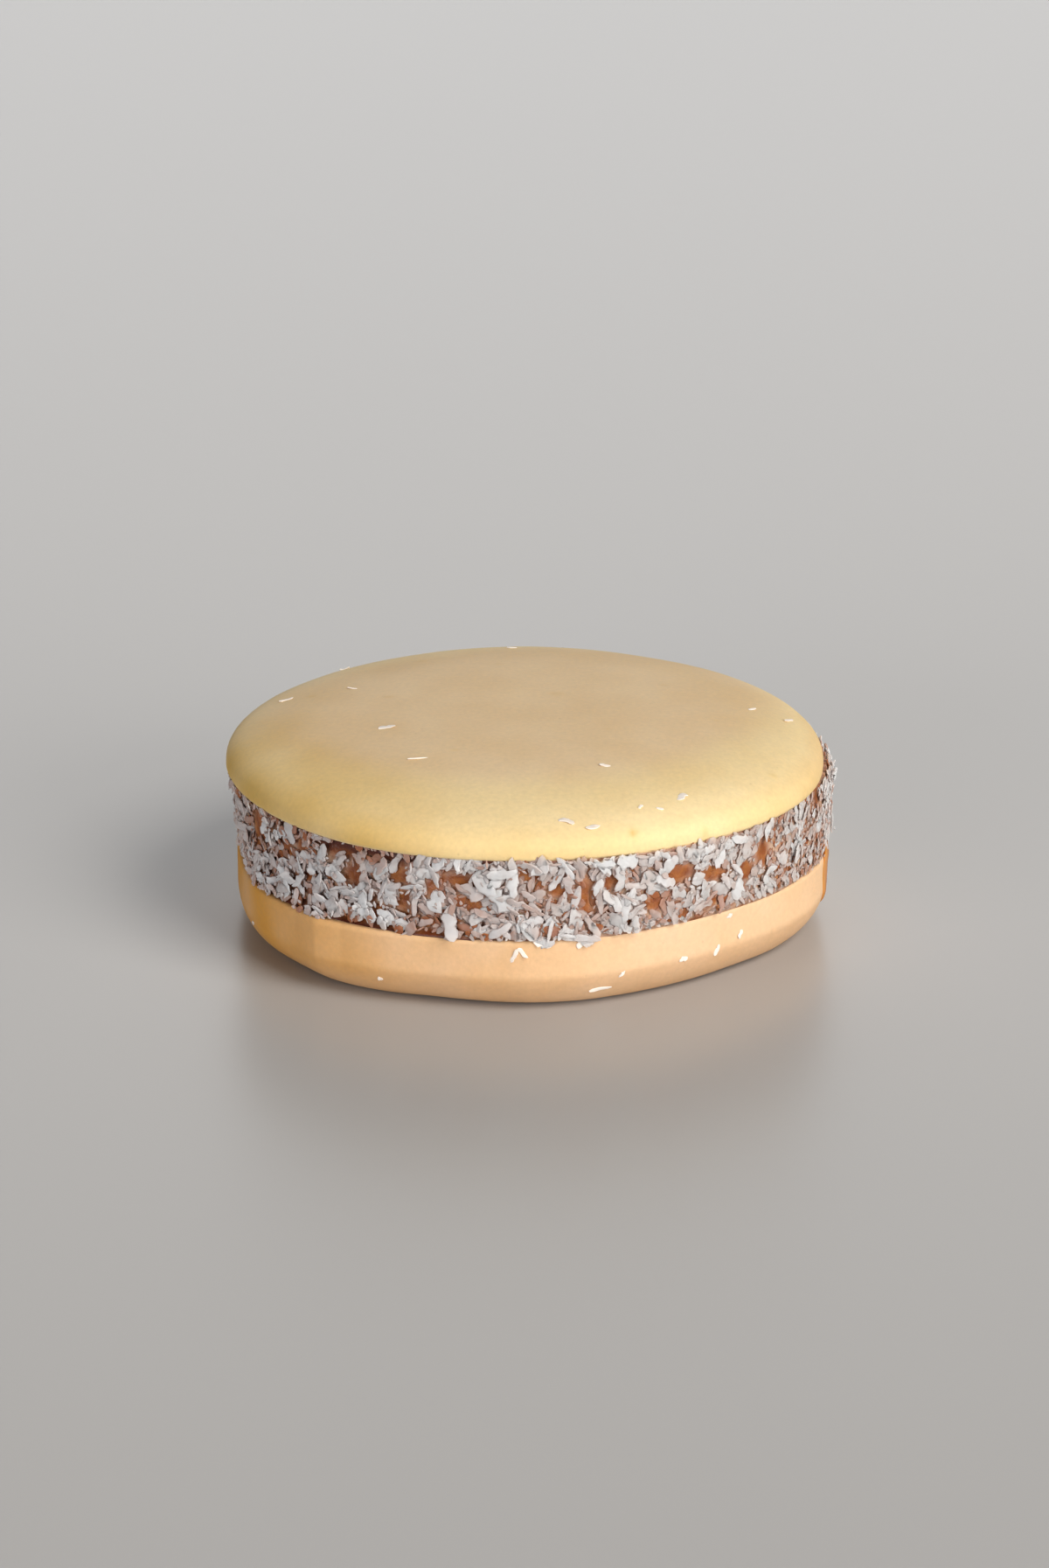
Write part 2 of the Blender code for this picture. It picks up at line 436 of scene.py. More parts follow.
# five stretches of section, turned; the corner adds out x (1 - |angle| / width), and the taller side lifts
# by its bell x share of the height x (share of the radius)^tallerPower
def buildBottomBiscuit():
    spec = bottomBiscuit
    low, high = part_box("bottom_biscuit")
    radius = bottomOutline.mean()
    rim = spec["rimRounding"]
    rise = spec["footRise"]
    thickness = high[2] - low[2]
    footRadius = radius - spec["curveWidth"]
    across, up = quarter(spec["curvePower"])
    roundAcross, roundUp = quarter(2)
    curve = footRadius + spec["curveWidth"] * across[::-1]
    curveHeight = rise + (spec["curveHeight"] - rise) * (1 - up[::-1])
    wallRadius = np.concatenate([curve, radius - rim + rim * roundAcross])
    wallHeight = np.concatenate([curveHeight, thickness - rim + rim * roundUp])
    rows, flat, ledge = spec["rows"], spec["flatRadius"], radius - spec["ledgeWidth"]
    section = np.concatenate([
        evenly([0, flat], [0, 0], rows["foot"]),
        evenly([flat, footRadius], [0, rise], rows["rise"]),
        evenly(wallRadius, wallHeight, rows["wall"]),
        evenly([radius - rim, ledge], [thickness, thickness], rows["ledge"]),
        evenly([ledge, 0], [thickness, thickness], rows["top"]),
    ])[:-1]
    away, height = section[:, :1], section[:, 1:]
    degrees, points = turnedSection(section, bottomAxis, bottomOutline, low[2], spec["columns"])
    onWall = ramp(away, footRadius, radius)
    cutMarks = relief(points * (1, 1, spec["cutStretch"]), [spec["cutMarks"]])
    lift = relief(points, spec["relief"]) + cutMarks * onWall
    lift *= ramp(away, flat, flat + spec["reliefFrom"])
    points = lifted(points, lift)
    angle, halfWidth, out = spec["corner"]
    fromCorner = np.abs((degrees - angle + 180) % 360 - 180)
    pinch = out * ramp(fromCorner, halfWidth, 0) * onWall
    points = points + polar((0, 0), degrees, 1.0, 0.0) * pinch[..., None]
    points[..., 2] = points[..., 2].clip(low[2], high[2])
    rising = height / thickness * (away / radius) ** spec["tallerPower"]
    points[..., 2] += bells(degrees, spec["taller"]) * rising
    reach, strength = spec["footBrown"]
    toastAndShade = strength * np.exp(-((height - rise) / reach) ** 2) * (away > flat) + 0 * lift
    # the deep golden brown on the left wall, away from the lights, is partly real browning and partly
    # painted shade
    toastAndShade += bells(degrees, spec["leftBrownAndShade"]) * onWall
    toastAndShade = (toastAndShade * (1 + relief(points, [spec["mottle"]]))).clip(0, 1)
    # painted shade: darker colour on the curve under the wall, which faces down, away from the lights
    paintedShade = ramp(height, *spec["paintedShadeFrom"]) + 0 * lift
    mesh = closedGrid("bottomBiscuit", points, {"toastAndShade": toastAndShade, "paintedShade": paintedShade})
    dough = doughMaterial("baked cornflour dough, lower", spec["colours"])
    addPiece("bottomBiscuit", mesh, dough, "bottom_biscuit")
    return points


# How the coconut coat changes round the side: each middle angle, half width, how much
coat = {
    "thicker": (
        (-50, 18, 0.9), (-90, 14, -0.6), (8, 14, 0.4), (97, 12, 2.0), (-120, 25, 0.8), (170, 30, 0.8)),
    "rough": ((-65, 24, 0.8), (97, 14, 1.5), (170, 50, 0.5)),
    # how much whiter: the darkest entry, at the far left away from the lights, is painted shade; the others
    # make the coat whiter or greyer
    "palerAndShaded": ((-84, 18, -0.55), (-38, 16, 0.28), (62, 20, -0.2), (100, 22, 0.45)),
    "tight": (66, 26, 0.38),  # the pieces are finer and lie flatter
    "blunt": (-68, 22, 0.35),  # the pieces are shorter and wider
    # how it leans out to the biscuits' rims: over which height, how far at most, and how far past the rim
    # or short of it the pieces end, in millimetres
    "foot": {"height": 1.8 * mm, "reach": 1.1 * mm, "past": (-0.25, 0.15)},
    "head": {"height": 1.5 * mm, "reach": 0.9 * mm, "short": (0.05, 0.5)},
    "hangs": (-36, 20, 0.5 * mm),  # how far the foot hangs below the lower biscuit's rim
    "misses": (-78, 11, 1.0),  # where the foot doesn't lean out
    "clumps": {"noise": (1, 2.3 * mm, 42), "shade": 0.3, "soak": 0.6, "lift": 0.45 * mm},
    "overTop": 0.5 * mm,  # how far past the head pieces are spread before they are moved under it
    "headRoom": 0.45,  # share of a piece's reach that is kept under the head
    "footRoom": 0.48,  # at most this share of the side's height is kept under a piece at the foot
}
noiseRadius = 29 * mm  # where the noises on the side are read


# The dulce de leche: a spread layer whose side stands lumpy between the biscuits
dulceFilling = {
    "columns": 800,
    "rows": {"under": 6, "side": 64, "over": 6},
    "outset": 0.45 * mm,  # how far the side stands out of the layer's CAD outline
    "hollow": 0.05 * mm,  # how far it draws in at its top and bottom
    "recess": (-73, 9, 0.9 * mm),  # where its foot draws in further: middle angle, half width, how far
    "recessHeight": 2.4 * mm,
    # where the whole side stands out further: middle angle, half width, how far
    "swells": (
        (-50, 16, 0.4 * mm), (-92, 16, -0.65 * mm), (8, 14, 0.15 * mm), (-120, 25, 0.2 * mm),
        (170, 30, 0.2 * mm)),
    "rimGap": 0.15 * mm,  # how far the foot stays inside the lower rim
    "rimSlope": 0.5,  # and how much further out it may go per height
    "grip": 0.12 * mm,  # how far it reaches into each biscuit
    "lumps": ((0.2 * mm, 4.2 * mm, 31), (0.13 * mm, 1.9 * mm, 32), (0.08 * mm, 0.7 * mm, 33)),
    # caramel pressed out under the upper rim: middle angle, half width, how far out
    "seeps": (
        (-35, 5, 0.25 * mm), (-25, 4, 0.2 * mm), (-13, 8, 0.1 * mm), (-48, 4, 0), (140, 9, 0.2 * mm),
        (205, 7, 0.2 * mm)),
    "seepDepth": 1.25 * mm,
    "darkWidth": 1.3,  # how much wider their dark colour, partly painted shade under the rims, is than they are
    "lips": ((-46, 14, 0.9 * mm), (-20, 12, 0.7 * mm)),  # the same at its foot, out over the lower rim
    "lipDepth": 0.45 * mm,
    "dust": 0.5,  # how thick coconut dust lies on the side
    "dustMottle": ((0.8, 0.9 * mm, 34), (0.7, 0.45 * mm, 35)),
    "dustier": (40, 42, 0.38),
    "dustFrom": (0.78125, 0.15625),  # bareness between which the dust comes in
}
fillingLow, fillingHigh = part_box("bottom_biscuit")[1][2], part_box("top_biscuit")[0][2]
fillingAxis, fillingOutline = outlineOf("dulce_filling")
bottomAxis, bottomOutline = outlineOf("bottom_biscuit")
topAxis, topOutline = outlineOf("top_biscuit")


# a biscuit's outline measured from the filling's axis: its radius plus the shift between the axes
def rimRadius(axis, outline, degrees):
    shift = axis - fillingAxis
    angle = np.radians(degrees)
    return radiusAt(outline, degrees) + shift[0] * np.sin(angle) - shift[1] * np.cos(angle)


# outline + outset - hollow x (2s - 1)^4 + swells - recess + lumps + seeps + lips, with s the share of the
# height, kept inside the lower rim
def coreRadius(degrees, height):
    spec = dulceFilling
    share = ramp(height, fillingLow, fillingHigh)
    radius = radiusAt(fillingOutline, degrees) + spec["outset"] - spec["hollow"] * (2 * share - 1) ** 4
    recess = bells(degrees, spec["recess"]) * ramp(height, fillingLow + spec["recessHeight"], fillingLow)
    radius = radius + bells(degrees, *spec["swells"]) - recess
    radius = radius + relief(polar(fillingAxis, degrees, radius, height), spec["lumps"])
    fromHead = (fillingHigh - height) / spec["seepDepth"]
    fromFoot = (height - fillingLow) / spec["lipDepth"]
    radius = radius + bells(degrees, *spec["seeps"]) * np.exp(-fromHead ** 2)
    radius = radius + bells(degrees, *spec["lips"]) * np.exp(-fromFoot ** 2)
    limit = rimRadius(bottomAxis, bottomOutline, degrees) - spec["rimGap"]
    return np.minimum(radius, limit + spec["rimSlope"] * (height - fillingLow))


# Where bare caramel shows through: angle, height over the lower biscuit, half width in degrees, half
# height in millimetres. Elsewhere a slow noise leaves the patches.
barePatches = {
    "known": (
        (-37, 7.1, 3.8, 0.8), (-50, 7.4, 2, 0.5), (-26, 7.5, 4, 0.4), (-14, 7.5, 2, 0.4),
        (28, 5.7, 2.8, 0.9), (-34, 4.7, 2.4, 0.8), (-24, 5.6, 2, 0.7), (-24, 3.2, 1.6, 0.9),
        (-13, 5.8, 2.6, 0.6), (-18, 5, 1.1, 0.8), (-10, 3.6, 1.6, 0.6), (0, 6.5, 2, 0.5),
        (10, 4, 0.9, 2.2), (23, 3, 1.5, 0.7), (36, 4.8, 2.4, 0.8), (49, 5, 1.4, 1.4),
        (45, 3.6, 1.6, 0.7), (-47, 6.2, 1.6, 0.6), (-52, 5, 2.2, 0.6), (-62, 6, 2.5, 1.2),
        (-45, 3.4, 1.6, 0.5), (15, 6, 1.6, 0.6), (5, 5.2, 1.6, 0.6), (-37, 7.5, 4.2, 0.5),
        (-26, 7.7, 4, 0.3), (-13, 7.9, 5, 0.2), (-51, 7.6, 2.8, 0.5), (-50, 0.3, 3.5, 0.4),
        (-34, 0.3, 3, 0.3), (-27, 0.3, 2.5, 0.3), (-18, 0.3, 3, 0.3), (-13, 0.9, 1.2, 0.4),
    ),
    "noise": (1, 2.3 * mm, 41),
    "level": (0.66, 0.78),  # noise above the first is partly bare, above the second bare
    "most": 0.9,  # how bare the noise can make it
    "open": (-72, 22, 0.3),  # where the levels are lower: middle angle, half width, by how much
}


# 0 where coconut lies thick, 1 where the caramel is bare
def bareness(degrees, height):
    bare = np.zeros(np.broadcast(degrees, height).shape)
    for middle, level, halfWidth, halfHeight in barePatches["known"]:
        off = (height - fillingLow - level * mm) / (halfHeight * mm)
        bare = np.maximum(bare, bell(degrees, middle, halfWidth) * np.exp(-0.5 * off ** 2))
    noise = relief(polar(fillingAxis, degrees, noiseRadius, height), [barePatches["noise"]])
    low, high = barePatches["level"]
    scattered = (noise + bells(degrees, barePatches["open"]) - low) / (high - low)
    return np.maximum(bare, scattered.clip(0, barePatches["most"]))


# Dulce de leche: dark, glossy and a little see-through, dulled to pale pink by coconut dust, and darkened
# where it meets the biscuits, partly as painted shade
caramelLook = {
    "patches": (1.3 * mm, 3.0, 0.55),  # size, detail and roughness of the noise
    "crumbs": (0.35 * mm, 2.0, 0.6),
    "crumbHeight": 0.1 * mm,
    # the darkest colour is caramel pressed out where the filling meets the biscuits, partly real and partly
    # painted shade in the gaps under the rims
    "deep": "803f19", "light": "aa6833", "seepAndShade": "4c1a10", "dust": "c4a28c",
    "roughness": (0.28, 0.46),
    "dustRoughness": 0.7,
    "ior": 1.46,
    "glow": (0.25, 0.8 * mm, (1.0, 0.4, 0.15)),
}


def caramelMaterial():
    look = caramelLook
    material, tree = newMaterial("dulce de leche, thick boiled milk caramel")
    place = addNode(tree, "ShaderNodeTexCoord").outputs["Object"]
    patches = addNoise(tree, place, *look["patches"])
    crumbs = addNoise(tree, place, *look["crumbs"])
    dust = carried(tree, "dust")
    colour = mixColours(tree, addRange(tree, patches, 0.35, 0.65), look["deep"], look["light"])
    # dark pressed-out caramel, partly painted shade under the rims
    colour = mixColours(tree, carried(tree, "seepAndShade"), colour, look["seepAndShade"])
    colour = mixColours(tree, dust, colour, look["dust"])
    rough = addRange(tree, patches, 0.3, 0.7, look["roughness"])
    rough = mixNumbers(tree, dust, rough, look["dustRoughness"])
    addSurface(tree, colour, rough, look["ior"], look["glow"], addBump(tree, crumbs, look["crumbHeight"]))
    return material


# how dark caramel pressed out at an end of the side is, by the distance from that end in its own depths;
# the dark is partly real caramel and partly painted shade in the gap under each rim
def pressedOutAndShade(degrees, places, away, power):
    width = dulceFilling["darkWidth"]
    dark = bells(degrees, *((middle, width * halfWidth, 1) for middle, halfWidth, out in places))
    return dark.clip(0.4, 1) * np.exp(-away.clip(0) ** power)


def buildFilling():
    spec = dulceFilling
    low, high = fillingLow - spec["grip"], fillingHigh + spec["grip"]
    degrees = np.arange(spec["columns"]) * 360 / spec["columns"]
    side = np.linspace(low, high, spec["rows"]["side"])[:, None]
    sideRadius = coreRadius(degrees, side)
    under = sideRadius[0] * np.linspace(0, 1, spec["rows"]["under"] + 2)[1:-1, None]
    over = sideRadius[-1] * np.linspace(1, 0, spec["rows"]["over"] + 2)[1:-1, None]
    radius = np.concatenate([under, sideRadius, over])
    height = np.concatenate([np.full((len(under), 1), low), side, np.full((len(over), 1), high)])
    points = polar(fillingAxis, degrees, radius, height)
    dust = spec["dust"] + relief(points, spec["dustMottle"]) + bells(degrees, spec["dustier"])
    dust = dust.clip(0, 1) * ramp(bareness(degrees, height), *spec["dustFrom"])
    # dark caramel at the top and foot of the side, partly real and partly painted shade in the gaps under
    # the biscuits' rims
    seepAndShade = pressedOutAndShade(degrees, spec["seeps"], (fillingHigh - height) / spec["seepDepth"], 4)
    seepAndShade = seepAndShade + pressedOutAndShade(degrees, spec["lips"], (height - fillingLow) / spec["lipDepth"], 2)
    seepAndShade = seepAndShade.clip(0, 1)
    mesh = closedGrid("dulceFilling", points, {"dust": dust * (1 - seepAndShade), "seepAndShade": seepAndShade})
    addPiece("dulceFilling", mesh, caramel, "dulce_filling")


# Desiccated coconut: dry and matt. Shade runs from thin grey flesh to thick white flesh, and soak to
# the brown of flesh that took up caramel. On the far left of the coat, a lower shade is painted shade.
def coconutMaterial(name, colours, seeThrough):
    material, tree = newMaterial(name)
    flesh = mixColours(tree, carried(tree, "shade"), colours["thin"], colours["thick"])
    soaked = mixColours(tree, carried(tree, "soak"), flesh, colours["soaked"])
    addSurface(tree, soaked, 0.55, 1.45, (seeThrough, 0.6 * mm, (1.0, 1.0, 1.0)))
    return material


caramel = caramelMaterial()
coconut = coconutMaterial("desiccated coconut, shredded and pressed into caramel", {
    "thin": "baa297", "thick": "dcdcdd", "soaked": "985428"}, 0.8)
topPoints = buildTopBiscuit()
bottomPoints = buildBottomBiscuit()
buildFilling()


# turns two unit directions by an angle, the first towards the second
def turned(first, second, angle):
    return np.cos(angle) * first + np.sin(angle) * second, np.cos(angle) * second - np.sin(angle) * first


# a piece's directions along, across and outward: spun in the surface, then tilted off it, then rolled
def pieceFrames(right, upward, outward, *turns):
    spin, tilt, roll = (np.radians(value)[:, None] for value in turns)
    along, across = turned(right, upward, spin)
    along, outward = turned(along, outward, tilt)
    across, outward = turned(across, outward, roll)
    return np.stack([along, across, outward])


def sideFrames(degrees, *turns):
    right = polar((0, 0), degrees + 90, 1.0, 0.0)
    outward = polar((0, 0), degrees, 1.0, 0.0)
    return pieceFrames(right, np.array([[0, 0, 1.0]]), outward, *turns)


# How a shred is torn, as shares of its half width or length, and how its colour varies
shredShape = {
    "endPower": 6,  # how suddenly it narrows at its ends
    "squareness": 0.5,  # 1 is a hexagon, less is squarer
    "notch": (-0.3, 0.16),
    "corner": 0.14,
    "slant": 0.8,
    "wander": 0.09,
    "thinEdge": 0.14,  # how much more caramel shows through its edges
    "thinEnd": 0.08,
    "soakMottle": 0.05,
    "shadeMottle": 0.08,
    "sharpAngle": 26,  # degrees
}


# Torn shreds, all in one mesh: a flat six-sided section carried along a bent centre line.
# Along u from -1 to 1 the half width is width/2 x (1 - 0.8|u|^endPower)^(1/2) x a notch of its own, the
# ends slant, the centre line lifts by bend x (u^2 - 1/3) and wanders sideways, and the section twists.
# Soak grows with cos^4 of the section's angle and u^4, so more caramel shows through edges and ends.
def shredMesh(name, shreds, stations, seed):
    shape = shredShape
    draw = np.random.default_rng(seed)
    count = len(shreds["length"])
    column = {key: value.reshape(count, 1, 1) for key, value in shreds.items() if value.ndim == 1}
    u = np.linspace(-1, 1, stations)[None, :, None]
    phi = np.radians(60 * np.arange(6))[None, None, :]
    body = (1 - 0.8 * np.abs(u) ** shape["endPower"]) ** 0.5
    notch = 1 + draw.uniform(*shape["notch"], (count, stations, 1))
    corner = 1 + draw.uniform(-shape["corner"], shape["corner"], (count, stations, 6))
    flat = np.sign(np.cos(phi)) * np.abs(np.cos(phi)) ** shape["squareness"]
    across = column["width"] / 2 * body * notch * corner * flat
    out = column["thickness"] / 2 * (0.45 + 0.55 * body) * corner * np.sin(phi)
    slant = draw.uniform(-shape["slant"], shape["slant"], (count, 1, 1))
    along = column["length"] / 2 * u + slant * np.abs(u) * across
    wander = column["width"] * shape["wander"] * draw.normal(size=(count, stations, 1)).cumsum(axis=1)
    across, out = turned(across, out, -column["twist"] * u)
    across = across + wander - wander.mean(axis=1, keepdims=True)
    out = out + column["bend"] * column["length"] * (u ** 2 - 1 / 3)
    points = shreds["centre"][:, None, None, :]
    for amount, direction in zip((along, across, out), shreds["frames"]):
        points = points + amount[..., None] * direction[:, None, None, :]
    around = np.arange(6)
    after = (around + 1) % 6
    first = 6 * np.arange(stations - 1)[:, None]
    sides = np.stack([first + around, first + after, first + 6 + after, first + 6 + around], axis=-1)
    last = 6 * (stations - 1)
    lowEnd = np.array([[0, 5, 4, 3], [0, 3, 2, 1]])
    highEnd = last + np.array([[0, 1, 2, 3], [0, 3, 4, 5]])
    pattern = np.concatenate([sides.reshape(-1, 4), lowEnd, highEnd])
    corners = (6 * stations * np.arange(count)[:, None] + pattern.reshape(1, -1)).ravel()
    thin = shape["thinEdge"] * np.cos(phi) ** 4 + shape["thinEnd"] * u ** 4
    soak = column["soak"] + 0.05 * u + thin * (0.4 + column["soak"])
    soak = soak + draw.normal(0, shape["soakMottle"], corner.shape)
    mottle = shape["shadeMottle"] * draw.normal(size=(count, stations, 1))
    shade = column["shade"] + 0.03 * np.sin(phi) + mottle
    values = {"soak": soak.clip(0.01, 0.99).ravel(), "shade": shade.clip(0.01, 0.99).ravel()}
    cornerMap = np.stack([values["soak"][corners], values["shade"][corners]], axis=-1)
    sizes = np.full(len(corners) // 4, 4)
    mesh = newMesh(name, points.reshape(-1, 3), corners, sizes, cornerMap, values)
    mesh.set_sharp_from_angle(angle=math.radians(shape["sharpAngle"]))
    return mesh


# draws what every set of shreds draws alike, and adds the set as a piece
def addShreds(name, spec, draw, material, **shreds):
    count = len(shreds["length"])
    for key in ("bend", "twist"):
        shreds[key] = draw.normal(0, spec[key], count)
    for key in ("soak", "shade"):
        if key not in shreds:
            shreds[key] = draw.uniform(*spec[key], count)
    addPiece(name, shredMesh(name, shreds, spec["stations"], spec["seed"] + 100), material)


def drawBetween(draw, limits, count, power=1.0):
    return limits[0] + (limits[1] - limits[0]) * draw.random(count) ** power


# Coconut on the side, kind by kind, in millimetres. Lift is how far the middle stands off the caramel, and
# bareLimit is how bare the caramel may be under a piece.
coconutKinds = {
    "coconutSoaked": {
        "seed": 51, "spacing": 0.88, "stations": 5, "length": (0.7, 2.0), "width": (0.45, 1.1),
        "thickness": (0.08, 0.15), "lift": (0.0, 0.1), "tilt": 5, "roll": 7, "bend": 0.04, "twist": 0.12,
        "soak": (0.22, 0.95), "shade": (0.1, 0.8), "bareLimit": 0.52,
    },
    "coconutStrands": {
        "seed": 52, "spacing": 1.15, "stations": 7, "length": (1.1, 3.0), "width": (0.36, 0.8),
        "thickness": (0.09, 0.17), "lift": (0.06, 0.3), "tilt": 6, "roll": 11, "bend": 0.05, "twist": 0.2,
        "soak": (0.0, 0.44), "shade": (0.3, 1.0), "bareLimit": 0.3,
    },
    "coconutFlakes": {
        "seed": 53, "spacing": 1.45, "stations": 7, "length": (1.2, 2.8), "width": (0.7, 1.45),
        "thickness": (0.09, 0.17), "lift": (0.1, 0.36), "tilt": 7, "roll": 9, "bend": 0.05, "twist": 0.15,
        "soak": (0.0, 0.25), "shade": (0.4, 1.0), "bareLimit": 0.26,
    },
    "coconutFines": {
        "seed": 54, "spacing": 0.62, "stations": 3, "length": (0.3, 0.9), "width": (0.2, 0.5),
        "thickness": (0.07, 0.13), "lift": (0.02, 0.32), "tilt": 7, "roll": 10, "bend": 0.03, "twist": 0.12,
        "soak": (0.05, 0.64), "shade": (0.35, 1.0), "bareLimit": 0.55,
    },
}


# the radius moved out towards each biscuit's rim by (share of the way to that end)^(1/2), and how much
# lower than the filling's foot the coat may hang
def leanOut(degrees, height, radius, draw):
    foot, head = coat["foot"], coat["head"]
    atFoot = ramp(height, fillingLow + foot["height"], fillingLow) * (1 - bells(degrees, coat["misses"]))
    toRim = rimRadius(bottomAxis, bottomOutline, degrees) + draw.uniform(*foot["past"], radius.size) * mm
    toRim -= radius
    radius = radius + atFoot ** 0.5 * toRim.clip(0, foot["reach"])
    atHead = ramp(height, fillingHigh - head["height"], fillingHigh)
    toHead = rimRadius(topAxis, topOutline, degrees) - draw.uniform(*head["short"], radius.size) * mm
    radius = radius + atHead ** 0.5 * (toHead - radius).clip(0, head["reach"])
    hang = atFoot * (toRim < foot["reach"]) * bells(degrees, coat["hangs"])
    return radius, hang - bells(degrees, bottomBiscuit["taller"])


# one shred to each cell of a grid round the side, moved at random inside it, and drawn by size
def coatSide(name, spec):
    draw = np.random.default_rng(spec["seed"])
    spacing = spec["spacing"] * mm
    columns = round(math.tau * fillingOutline.mean() / spacing)
    rows = round((fillingHigh - fillingLow) / spacing)
    column, row = (value.ravel() for value in np.meshgrid(np.arange(columns), np.arange(rows)))
    degrees = (column + draw.uniform(0, 1, column.size)) * 360 / columns
    span = fillingHigh + coat["overTop"] - fillingLow
    height = fillingLow + (row + draw.uniform(0, 1, row.size)) / rows * span
    keep = bareness(degrees, height) < spec["bareLimit"] * draw.uniform(0.6, 1.4, degrees.size)
    degrees, height = degrees[keep], height[keep]
    count = degrees.size
    tight, blunt = bells(degrees, coat["tight"]), bells(degrees, coat["blunt"])
    rough = (1 + bells(degrees, *coat["rough"])) * (1 - tight)
    length = drawBetween(draw, spec["length"], count, 1.3) * mm * (1 - tight) * (1 - blunt)
    width = drawBetween(draw, spec["width"], count, 1.2) * mm * (1 - 0.3 * tight) * (1 + 0.8 * blunt)
    thickness = drawBetween(draw, spec["thickness"], count) * mm * (0.4 + 0.6 * rough)
    spin = draw.uniform(0, 180, count)
    tilt, roll = (draw.normal(0, spec[turn], count) * rough * (1 - tight) for turn in ("tilt", "roll"))
    frames = sideFrames(degrees, spin, tilt, roll)
    reach = 0.5 * (np.abs(frames[0, :, 2]) * length + np.abs(frames[1, :, 2]) * width)
    room = np.minimum(reach, coat["footRoom"] * (fillingHigh - fillingLow))
    clumps = coat["clumps"]
    clump = relief(polar(fillingAxis, degrees, noiseRadius, height), [clumps["noise"]])
    lift = drawBetween(draw, spec["lift"], count) * mm + clumps["lift"] * clump.clip(0, 1)
    lift *= (1 + bells(degrees, *coat["thicker"])) * (1 - tight)
    radius, hang = leanOut(degrees, height, coreRadius(degrees, height) + lift, draw)
    height = np.clip(height, fillingLow + room - hang, fillingHigh - coat["headRoom"] * room)
    # a lower shade at the far left is painted shade
    shade = drawBetween(draw, spec["shade"], count) + bells(degrees, *coat["palerAndShaded"])
    soak = drawBetween(draw, spec["soak"], count)
    addShreds(
        name, spec, draw, coconut, centre=polar(fillingAxis, degrees, radius, height), frames=frames,
        length=length, width=width, thickness=thickness, shade=shade + clumps["shade"] * clump,
        soak=soak - clumps["soak"] * clump * (0.3 + soak))


for kind, kindSpec in coconutKinds.items():
    coatSide(kind, kindSpec)

# The flakes that show most, lying over the rest: angle, height over the lower biscuit, length, width,
# spin, how white. Lengths are millimetres.
showingFlakes = {
    "flakes": (
        (-50, 7.1, 2.2, 1.5, 100, 0.75), (-44, 7, 2.6, 0.9, -35, 0.8), (-41, 6.3, 1.7, 1.4, 20, 0.85),
        (-38, 5.5, 3.6, 0.7, 35, 0.65), (-38, 1.7, 2.7, 1.7, 92, 0.7), (-42, 2.6, 2, 1.1, 70, 0.55),
        (-51, 1, 2.2, 1.6, 10, 0.55), (-59, 2.2, 2.4, 1.4, 95, 0.55), (-66, 4.4, 2.2, 1.2, 60, 0.5),
        (-32, 5.2, 3, 0.8, 92, 0.45), (-28, 5.8, 1.9, 1.2, 20, 0.9), (-26, 3.8, 2.1, 1.5, 70, 0.9),
        (-33, 1.5, 1.7, 1.2, 40, 0.6), (-23, 0.9, 1.9, 1, -20, 0.85), (-17, 3.7, 2, 1.5, 60, 1),
        (-17.5, 6.2, 2.4, 0.7, 110, 0.8), (-13, 7.9, 1.9, 0.9, 80, 0.95), (-5, 6.9, 2.5, 1.2, -15, 0.9),
        (-5, 4.1, 3, 1.4, -35, 1), (-9, 0.8, 1.9, 1.2, 10, 0.85), (-14, 1.8, 1.9, 0.7, 100, 0.6),
        (1.7, 7.3, 1.8, 1.1, 20, 0.8), (3.4, 1.9, 1.6, 1.1, 90, 0.95), (2.5, 0.1, 1.8, 1, -20, 0.95),
        (9, 0.4, 3.8, 0.8, -8, 0.85), (10.5, 0, 1.4, 1, 30, 0.9), (13.5, 4.6, 2.4, 0.6, -40, 0.65),
        (16.5, 6.2, 2.7, 1.4, 82, 1), (17, 3, 2.2, 1.4, 60, 0.9), (25.5, 6.7, 2.3, 1.3, 35, 1),
        (25, 5.2, 2.1, 1, -20, 0.95), (37, 6.2, 1.7, 1.4, 30, 0.95), (34, 7.4, 1.6, 0.9, 10, 0.9),
        (42, 2.3, 1.9, 1.5, 45, 0.9), (42, 7.5, 2.1, 0.9, -10, 0.85), (50, 7.4, 2.2, 1.1, 50, 0.9),
        (60, 3.4, 1.7, 1.1, 70, 0.8), (77, 6.4, 2.8, 1.1, 85, 1), (-69, 0.9, 1.8, 0.4, 5, 0.9),
    ),
    "thickness": (0.11, 0.18),
    "lift": (0.35, 0.55),
    "tilt": 5, "roll": 7, "bend": 0.04, "twist": 0.15, "soak": (0.0, 0.12), "stations": 9, "seed": 56,
}


def showFlakes():
    spec = showingFlakes
    draw = np.random.default_rng(spec["seed"])
    degrees, height, length, width, spin, white = np.array(spec["flakes"], float).T
    count = degrees.size
    height = fillingLow + height * mm
    tilt, roll = (draw.normal(0, spec[turn], count) for turn in ("tilt", "roll"))
    lift = drawBetween(draw, spec["lift"], count) * mm
    radius, hang = leanOut(degrees, height, coreRadius(degrees, height) + lift, draw)
    thickness = drawBetween(draw, spec["thickness"], count) * mm
    addShreds(
        "coconutShowing", spec, draw, coconut, centre=polar(fillingAxis, degrees, radius, height),
        frames=sideFrames(degrees, spin, tilt, roll), length=length * mm, width=width * mm,
        thickness=thickness, shade=white)


showFlakes()

